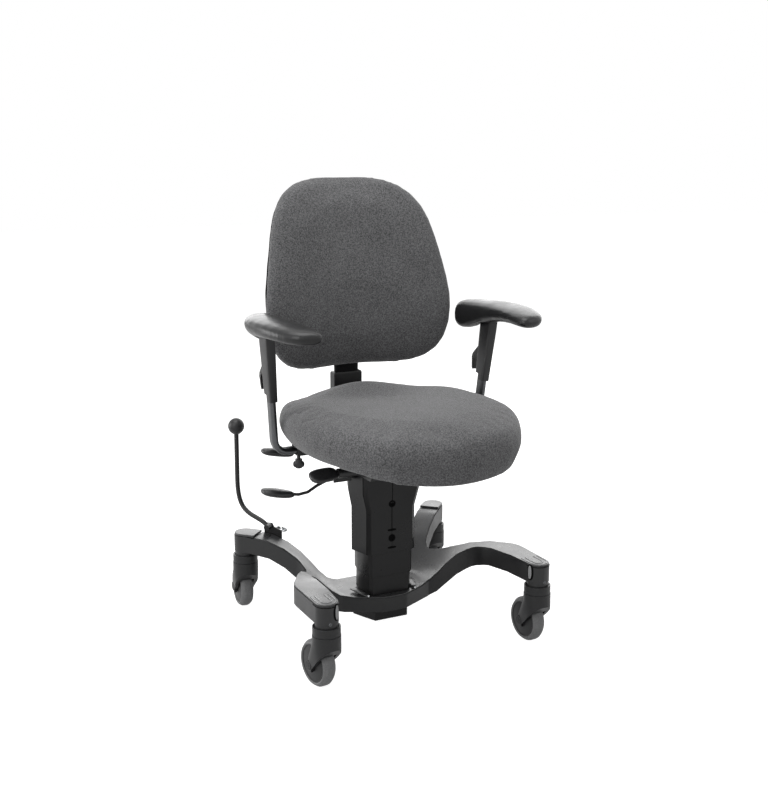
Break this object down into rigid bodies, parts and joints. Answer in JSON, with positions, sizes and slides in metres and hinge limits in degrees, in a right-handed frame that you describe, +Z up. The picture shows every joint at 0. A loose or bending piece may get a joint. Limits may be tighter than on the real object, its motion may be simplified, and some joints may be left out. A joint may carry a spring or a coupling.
{
  "type": "activity chair",
  "caption": "Height-adjustable activity chair with upholstered seat and back, adjustable arms, castor base and hand brake.",
  "frame": {"origin": "on the floor, under the middle of the chair's overall outline", "axes": "+Z up; the sitter faces -Y; +X is the sitter's left"},
  "size_m": [0.64, 0.6647, 1.0116],
  "materials": {
    "cast_base": "dark grey powder coat on cast aluminium, semi-matt",
    "base_cover": "dark grey moulded plastic, semi-gloss",
    "column": "black powder coat, satin",
    "castor_plastic": "dark grey moulded nylon, fine grain",
    "tyre": "mid-grey soft tread, matt",
    "steel": "bright zinc-plated steel",
    "arm_tube": "satin grey steel",
    "black_steel": "black powder coat",
    "black_plastic": "black moulded plastic, fine grain",
    "arm_pad": "black integral-skin foam, soft sheen",
    "fabric": "charcoal wool blend, speckled"
  },
  "bodies": {
    "base": {"base_frame": "cast_base", "base_cover": "base_cover", "rear_left_end_cap": "base_cover", "rear_right_end_cap": "base_cover", "column_lower": "column", "lift_cylinder": "black_steel", "brake_bracket": "black_steel", "front_left_castor_collar": "castor_plastic", "front_right_castor_collar": "castor_plastic", "rear_left_castor_collar": "castor_plastic", "rear_right_castor_collar": "castor_plastic"},
    "column_middle": {"column_middle": "column"},
    "seat_mount": {"column_upper": "column", "lift_rod": "steel", "seat_mechanism": "black_steel", "seat_tilt_pin": "steel"},
    "height_lever": {"height_lever": "black_plastic"},
    "tilt_lever": {"tilt_lever": "black_plastic"},
    "seat": {"seat_plate": "black_steel", "seat_shell": "black_plastic", "seat_cushion": "fabric", "back_pivot_pin": "steel"},
    "back_lever": {"back_lever": "black_plastic"},
    "back_upright": {"back_bar": "black_steel", "back_sleeve": "black_plastic"},
    "backrest": {"back_shell": "black_plastic", "back_cushion": "fabric"},
    "left_arm_tube": {"left_arm_tube": "arm_tube"},
    "left_arm_sleeve": {"left_arm_sleeve": "black_plastic"},
    "left_arm_trigger": {"left_arm_trigger": "black_plastic"},
    "left_arm_pad": {"left_arm_pad": "arm_pad"},
    "left_arm_clamp_screw": {"left_arm_clamp_screw": "black_plastic"},
    "right_arm_tube": {"right_arm_tube": "arm_tube"},
    "right_arm_sleeve": {"right_arm_sleeve": "black_plastic"},
    "right_arm_trigger": {"right_arm_trigger": "black_plastic"},
    "right_arm_pad": {"right_arm_pad": "arm_pad"},
    "right_arm_clamp_screw": {"right_arm_clamp_screw": "black_plastic"},
    "hand_brake": {"brake_lever": "black_steel", "brake_knob": "black_plastic"},
    "brake_wing_screw": {"brake_wing_screw": "steel"},
    "front_left_brake_pin": {"front_left_brake_pin": "steel"},
    "front_left_castor": {"front_left_castor_fork": "castor_plastic", "front_left_axle": "steel"},
    "front_left_wheel": {"front_left_wheel_hub": "castor_plastic", "front_left_tyre": "tyre"},
    "front_right_brake_pin": {"front_right_brake_pin": "steel"},
    "front_right_castor": {"front_right_castor_fork": "castor_plastic", "front_right_axle": "steel"},
    "front_right_wheel": {"front_right_wheel_hub": "castor_plastic", "front_right_tyre": "tyre"},
    "rear_left_brake_pin": {"rear_left_brake_pin": "steel"},
    "rear_left_castor": {"rear_left_castor_fork": "castor_plastic", "rear_left_axle": "steel"},
    "rear_left_wheel": {"rear_left_wheel_hub": "castor_plastic", "rear_left_tyre": "tyre"},
    "rear_right_brake_pin": {"rear_right_brake_pin": "steel"},
    "rear_right_castor": {"rear_right_castor_fork": "castor_plastic", "rear_right_axle": "steel"},
    "rear_right_wheel": {"rear_right_wheel_hub": "castor_plastic", "rear_right_tyre": "tyre"}
  },
  "joints": [
    {"name": "seat_height", "type": "slide", "parent": "base", "child": "seat_mount", "axis": [0, 0, 1], "range_m": [-0.08, 0.12]},
    {"name": "column_middle_slide", "type": "slide", "parent": "base", "child": "column_middle", "axis": [0, 0, 1], "range_m": [-0.04, 0.06]},
    {"name": "height_lever_pull", "type": "hinge", "parent": "seat_mount", "child": "height_lever", "pos_m": [-0.118, 0.02475, 0.366], "axis": [0, 1, 0], "range_deg": [0, 10], "stiffness_Nm_per_rad": 1, "springref_deg": -6.88},
    {"name": "tilt_lever_turn", "type": "hinge", "parent": "seat_mount", "child": "tilt_lever", "pos_m": [-0.1, -0.03525, 0.393], "axis": [1, 0, 0], "range_deg": [0, 15], "stiffness_Nm_per_rad": 0.4, "springref_deg": -6.88},
    {"name": "seat_tilt", "type": "hinge", "parent": "seat_mount", "child": "seat", "pos_m": [0, 0.00275, 0.4], "axis": [1, 0, 0], "range_deg": [-4, 8]},
    {"name": "back_lever_pull", "type": "hinge", "parent": "seat", "child": "back_lever", "pos_m": [-0.156, 0.11275, 0.427], "axis": [0, 1, 0], "range_deg": [0, 10], "stiffness_Nm_per_rad": 0.8, "springref_deg": -6.88},
    {"name": "back_tilt", "type": "hinge", "parent": "seat", "child": "back_upright", "pos_m": [0, 0.18075, 0.427], "axis": [-1, 0, 0], "range_deg": [-3, 25]},
    {"name": "back_height", "type": "slide", "parent": "back_upright", "child": "backrest", "axis": [0, 0, 1], "range_m": [-0.01, 0.055]},
    {"name": "left_arm_width", "type": "slide", "parent": "seat", "child": "left_arm_tube", "axis": [1, 0, 0], "range_m": [-0.006, 0.04]},
    {"name": "left_arm_height", "type": "slide", "parent": "left_arm_tube", "child": "left_arm_sleeve", "axis": [0.0767, -0.073, 0.9944], "range_m": [-0.04, 0.05]},
    {"name": "left_arm_trigger_squeeze", "type": "hinge", "parent": "left_arm_sleeve", "child": "left_arm_trigger", "pos_m": [0.26558, 0.04933, 0.62429], "axis": [-0.9971, -0.0056, 0.0765], "range_deg": [0, 8], "stiffness_Nm_per_rad": 0.3, "springref_deg": -6.88},
    {"name": "left_arm_pad_swivel", "type": "hinge", "parent": "left_arm_sleeve", "child": "left_arm_pad", "pos_m": [0.27083, 0.02587, 0.69105], "axis": [0, 0, 1], "range_deg": [-20, 20]},
    {"name": "left_arm_clamp_turn", "type": "hinge", "parent": "seat", "child": "left_arm_clamp_screw", "pos_m": [0.196, 0.04475, 0.4188], "axis": [0, 0, 1], "range_deg": [-180, 180]},
    {"name": "right_arm_width", "type": "slide", "parent": "seat", "child": "right_arm_tube", "axis": [-1, 0, 0], "range_m": [-0.006, 0.04]},
    {"name": "right_arm_height", "type": "slide", "parent": "right_arm_tube", "child": "right_arm_sleeve", "axis": [-0.0767, -0.073, 0.9944], "range_m": [-0.04, 0.05]},
    {"name": "right_arm_trigger_squeeze", "type": "hinge", "parent": "right_arm_sleeve", "child": "right_arm_trigger", "pos_m": [-0.26558, 0.04933, 0.62429], "axis": [-0.9971, 0.0056, -0.0765], "range_deg": [0, 8], "stiffness_Nm_per_rad": 0.3, "springref_deg": -6.88},
    {"name": "right_arm_pad_swivel", "type": "hinge", "parent": "right_arm_sleeve", "child": "right_arm_pad", "pos_m": [-0.27083, 0.02587, 0.69105], "axis": [0, 0, 1], "range_deg": [-20, 20]},
    {"name": "right_arm_clamp_turn", "type": "hinge", "parent": "seat", "child": "right_arm_clamp_screw", "pos_m": [-0.196, 0.04475, 0.4188], "axis": [0, 0, 1], "range_deg": [-180, 180]},
    {"name": "hand_brake_swing", "type": "hinge", "parent": "base", "child": "hand_brake", "pos_m": [-0.20264, 0.22415, 0.206], "axis": [-0.7071, -0.7071, 0], "range_deg": [0, 20]},
    {"name": "brake_wing_screw_turn", "type": "hinge", "parent": "base", "child": "brake_wing_screw", "pos_m": [-0.17945, 0.21906, 0.19], "axis": [0.7071, 0.7071, 0], "range_deg": [-180, 180]},
    {"name": "front_left_brake_pin_drop", "type": "slide", "parent": "base", "child": "front_left_brake_pin", "axis": [0, 0, -1], "range_m": [0, 0.0032]},
    {"name": "front_left_castor_swivel", "type": "hinge", "parent": "base", "child": "front_left_castor", "pos_m": [0.2515, -0.22375, 0.1222], "axis": [0, 0, 1], "continuous": true},
    {"name": "front_left_wheel_spin", "type": "hinge", "parent": "front_left_castor", "child": "front_left_wheel", "pos_m": [0.25035, -0.19077, 0.05], "axis": [0.9994, 0.0349, 0], "continuous": true},
    {"name": "front_right_brake_pin_drop", "type": "slide", "parent": "base", "child": "front_right_brake_pin", "axis": [0, 0, -1], "range_m": [0, 0.0032]},
    {"name": "front_right_castor_swivel", "type": "hinge", "parent": "base", "child": "front_right_castor", "pos_m": [-0.2515, -0.22375, 0.1222], "axis": [0, 0, 1], "continuous": true},
    {"name": "front_right_wheel_spin", "type": "hinge", "parent": "front_right_castor", "child": "front_right_wheel", "pos_m": [-0.25666, -0.19116, 0.05], "axis": [0.9877, 0.1564, 0], "continuous": true},
    {"name": "rear_left_brake_pin_drop", "type": "slide", "parent": "base", "child": "rear_left_brake_pin", "axis": [0, 0, -1], "range_m": [0, 0.0032]},
    {"name": "rear_left_castor_swivel", "type": "hinge", "parent": "base", "child": "rear_left_castor", "pos_m": [0.2515, 0.24925, 0.1222], "axis": [0, 0, 1], "continuous": true},
    {"name": "rear_left_wheel_spin", "type": "hinge", "parent": "rear_left_castor", "child": "rear_left_wheel", "pos_m": [0.2515, 0.28225, 0.05], "axis": [1, 0, 0], "continuous": true},
    {"name": "rear_right_brake_pin_drop", "type": "slide", "parent": "base", "child": "rear_right_brake_pin", "axis": [0, 0, -1], "range_m": [0, 0.0032]},
    {"name": "rear_right_castor_swivel", "type": "hinge", "parent": "base", "child": "rear_right_castor", "pos_m": [-0.2515, 0.24925, 0.1222], "axis": [0, 0, 1], "continuous": true},
    {"name": "rear_right_wheel_spin", "type": "hinge", "parent": "rear_right_castor", "child": "rear_right_wheel", "pos_m": [-0.24862, 0.28212, 0.05], "axis": [0.9962, -0.0872, 0], "continuous": true}
  ],
  "couplings": [
    {"joint": "column_middle_slide", "follows": "seat_height", "ratio": 0.5},
    {"joint": "front_left_brake_pin_drop", "follows": "hand_brake_swing", "m_per_rad": 0.00916},
    {"joint": "front_right_brake_pin_drop", "follows": "hand_brake_swing", "m_per_rad": 0.00916},
    {"joint": "rear_left_brake_pin_drop", "follows": "hand_brake_swing", "m_per_rad": 0.00916},
    {"joint": "rear_right_brake_pin_drop", "follows": "hand_brake_swing", "m_per_rad": 0.00916}
  ]
}
